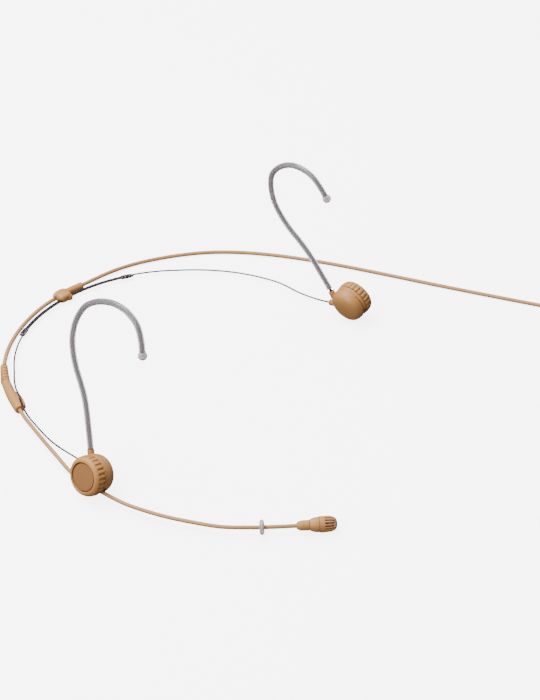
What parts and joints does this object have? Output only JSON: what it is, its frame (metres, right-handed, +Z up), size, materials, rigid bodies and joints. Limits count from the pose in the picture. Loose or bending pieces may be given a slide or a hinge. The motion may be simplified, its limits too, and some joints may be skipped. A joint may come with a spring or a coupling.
{
  "type": "headset microphone",
  "caption": "Neckband headset microphone with two ear hooks, two clamp hubs, a thin side boom, a slotted capsule and a cable to a small round plug.",
  "frame": {"origin": "middle of the headset's outline, free cord left out, on the surface it lies on", "axes": "+X is the way the wearer faces, +Y is the wearer's left, +Z is up; the boom is on the wearer's right, at -Y"},
  "size_m": [0.2338, 0.2586, 0.0797],
  "materials": {
    "tan_plastic": "fine satin moulded plastic, warm beige",
    "tan_soft": "soft moulded elastomer, warm beige",
    "cable_jacket": "smooth matt cable jacket, warm beige",
    "disc_face": "flat moulded face, darker beige",
    "wire_steel": "drawn spring wire, dark",
    "ferrule_steel": "bright crimped metal, dark tint",
    "inner_steel": "plain machined steel",
    "clear_sleeve": "clear flexible tube, grey inside",
    "clear_soft": "translucent silicone",
    "dark_mesh": "dark acoustic mesh",
    "brass_splice": "plain",
    "black_boot": "matt black elastomer",
    "black_insert": "matt black plastic",
    "shell_metal": "satin nickel plating"
  },
  "bodies": {
    "root": {"right_hub_base": "tan_plastic", "right_clamp_stud": "inner_steel", "right_clamp_washer": "inner_steel", "right_band_wire": "wire_steel", "right_band_ferrule": "ferrule_steel", "boom_rear": "cable_jacket", "junction_boot": "tan_soft", "junction_relief": "tan_soft", "junction_splice": "brass_splice", "cable_lead": "cable_jacket", "cable_coil": "cable_jacket", "cable_tail": "cable_jacket", "cable_tie": "black_insert", "connector_boot": "black_boot", "connector_shell": "shell_metal", "connector_insert": "black_insert"},
    "right_knob": {"right_knob": "tan_plastic", "right_knob_disc": "disc_face"},
    "boom": {"right_boom_carrier": "tan_plastic", "boom_front": "cable_jacket", "capsule_neck": "tan_soft", "capsule_body": "tan_plastic", "capsule_element": "inner_steel", "capsule_screen": "dark_mesh"},
    "capsule_cap": {"capsule_cap": "tan_plastic"},
    "drip_ring": {"drip_ring": "clear_soft"},
    "right_hook": {"right_hook_core": "wire_steel", "right_hook_sleeve": "clear_sleeve", "right_hook_tip": "clear_soft"},
    "left_side": {"left_hub_base": "tan_plastic", "left_clamp_stud": "inner_steel", "left_clamp_washer": "inner_steel", "left_band_wire": "wire_steel", "left_band_ferrule": "ferrule_steel"},
    "left_knob": {"left_knob": "tan_plastic", "left_knob_disc": "disc_face"},
    "left_carrier": {"left_boom_carrier": "tan_plastic"},
    "left_hook": {"left_hook_core": "wire_steel", "left_hook_sleeve": "clear_sleeve", "left_hook_tip": "clear_soft"},
    "cable_clip": {"cable_clip": "tan_plastic"},
    "latch_button": {"latch_button": "shell_metal"}
  },
  "joints": [
    {"name": "right_knob_turn", "type": "hinge", "parent": "root", "child": "right_knob", "pos_m": [0.012, -0.08, 0.0082], "axis": [0, -0.9511, 0.309], "range_deg": [0, 180]},
    {"name": "boom_swing", "type": "hinge", "parent": "root", "child": "boom", "pos_m": [0.012, -0.08, 0.0082], "axis": [0, -0.9511, 0.309], "range_deg": [-12, 12]},
    {"name": "capsule_cap_pull", "type": "slide", "parent": "boom", "child": "capsule_cap", "axis": [0.6845, 0.729, 0], "range_m": [0, 0.008]},
    {"name": "drip_ring_slide", "type": "slide", "parent": "boom", "child": "drip_ring", "axis": [0.7193, 0.6947, 0], "range_m": [-0.003, 0.003]},
    {"name": "right_hook_turn", "type": "hinge", "parent": "root", "child": "right_hook", "pos_m": [0.0061, -0.0748, 0.0145], "axis": [-0.235, 0.178, 0.9556], "range_deg": [-20, 20]},
    {"name": "band_size", "type": "hinge", "parent": "root", "child": "left_side", "pos_m": [-0.022, 0.004, 0], "axis": [0, 0, 1], "range_deg": [-8, 2]},
    {"name": "left_knob_turn", "type": "hinge", "parent": "left_side", "child": "left_knob", "pos_m": [0.0106, 0.08, 0.0082], "axis": [0, 0.9511, 0.309], "range_deg": [0, 180]},
    {"name": "left_carrier_turn", "type": "hinge", "parent": "left_side", "child": "left_carrier", "pos_m": [0.0106, 0.08, 0.0082], "axis": [0, 0.9511, 0.309], "range_deg": [-12, 12]},
    {"name": "left_hook_turn", "type": "hinge", "parent": "left_side", "child": "left_hook", "pos_m": [0.00264, 0.07548, 0.01241], "axis": [-0.5213, -0.141, 0.8417], "range_deg": [-20, 20]},
    {"name": "clip_slide", "type": "hinge", "parent": "root", "child": "cable_clip", "pos_m": [-0.022, 0.004, 0], "axis": [0, 0, 1], "range_deg": [0, 5]},
    {"name": "latch_press", "type": "slide", "parent": "root", "child": "latch_button", "axis": [0, 0, -1], "range_m": [0, 0.0005], "stiffness_N_per_m": 400}
  ]
}
